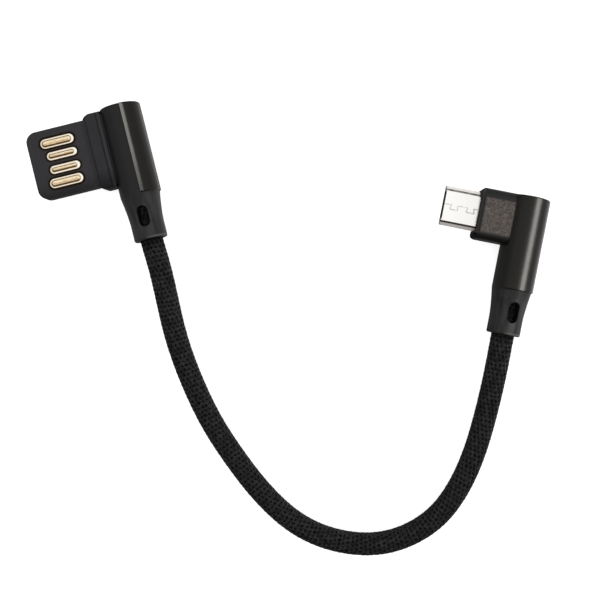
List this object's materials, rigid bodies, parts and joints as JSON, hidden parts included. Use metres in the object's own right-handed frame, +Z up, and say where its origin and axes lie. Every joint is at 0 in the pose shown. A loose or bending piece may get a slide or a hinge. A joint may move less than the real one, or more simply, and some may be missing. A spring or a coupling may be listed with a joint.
{
  "type": "charging cable",
  "caption": "Short braided charging cable with a flat reversible USB-A blade and a Micro-B plug, both set at right angles to the cord.",
  "frame": {"origin": "on the table, below the middle of the box round the two plugs", "axes": "+X from the USB-A plug to the Micro-B plug, +Y from the cord's bend towards the plugs, +Z up off the table"},
  "size_m": [0.0906, 0.0792, 0.0073],
  "materials": {
    "gold_plate": "polished gold plating",
    "blade_plastic": "fine matt black",
    "insulator_plastic": "matt black",
    "circuit_board": "green solder mask",
    "moulded_plastic": "satin black with a spark-eroded panel",
    "dark_metal": "dark semi-gloss with a soft streak of light",
    "inner_mould": "natural polythene white",
    "cord_jacket": "black PVC",
    "braid": "fine woven black nylon",
    "nickel_plate": "bright nickel",
    "spring_steel": "bright spring steel",
    "wire_red": "gloss",
    "wire_white": "gloss",
    "wire_green": "gloss",
    "wire_black": "gloss"
  },
  "bodies": {
    "cable": {"usb_a_blade": "blade_plastic", "usb_a_contacts_upper": "gold_plate", "usb_a_contacts_lower": "gold_plate", "usb_a_collar": "blade_plastic", "usb_a_circuit_board": "circuit_board", "usb_a_housing": "moulded_plastic", "usb_a_metal_cover": "dark_metal", "usb_a_inner_mould": "inner_mould", "usb_a_cord_jacket": "cord_jacket", "usb_a_cord_sleeve": "braid", "usb_a_wire_red": "wire_red", "usb_a_wire_white": "wire_white", "usb_a_wire_green": "wire_green", "usb_a_wire_black": "wire_black", "micro_shell": "nickel_plate", "micro_insulator": "insulator_plastic", "micro_contacts": "gold_plate", "micro_circuit_board": "circuit_board", "micro_housing": "moulded_plastic", "micro_metal_cover": "dark_metal", "micro_inner_mould": "inner_mould", "micro_cord_jacket": "cord_jacket", "micro_cord_sleeve": "braid", "micro_wire_red": "wire_red", "micro_wire_white": "wire_white", "micro_wire_green": "wire_green", "micro_wire_black": "wire_black", "cord": "braid"},
    "latch_left": {"micro_latch_left": "spring_steel"},
    "latch_right": {"micro_latch_right": "spring_steel"}
  },
  "joints": [
    {"name": "latch_left_flex", "type": "hinge", "parent": "cable", "child": "latch_left", "pos_m": [0.03185, -0.00089, 0.00324], "axis": [0.1925, 0.9813, 0], "range_deg": [0, 5.5], "stiffness_Nm_per_rad": 0.075},
    {"name": "latch_right_flex", "type": "hinge", "parent": "cable", "child": "latch_right", "pos_m": [0.0328, 0.00391, 0.00324], "axis": [0.1925, 0.9813, 0], "range_deg": [0, 5.5], "stiffness_Nm_per_rad": 0.075}
  ]
}
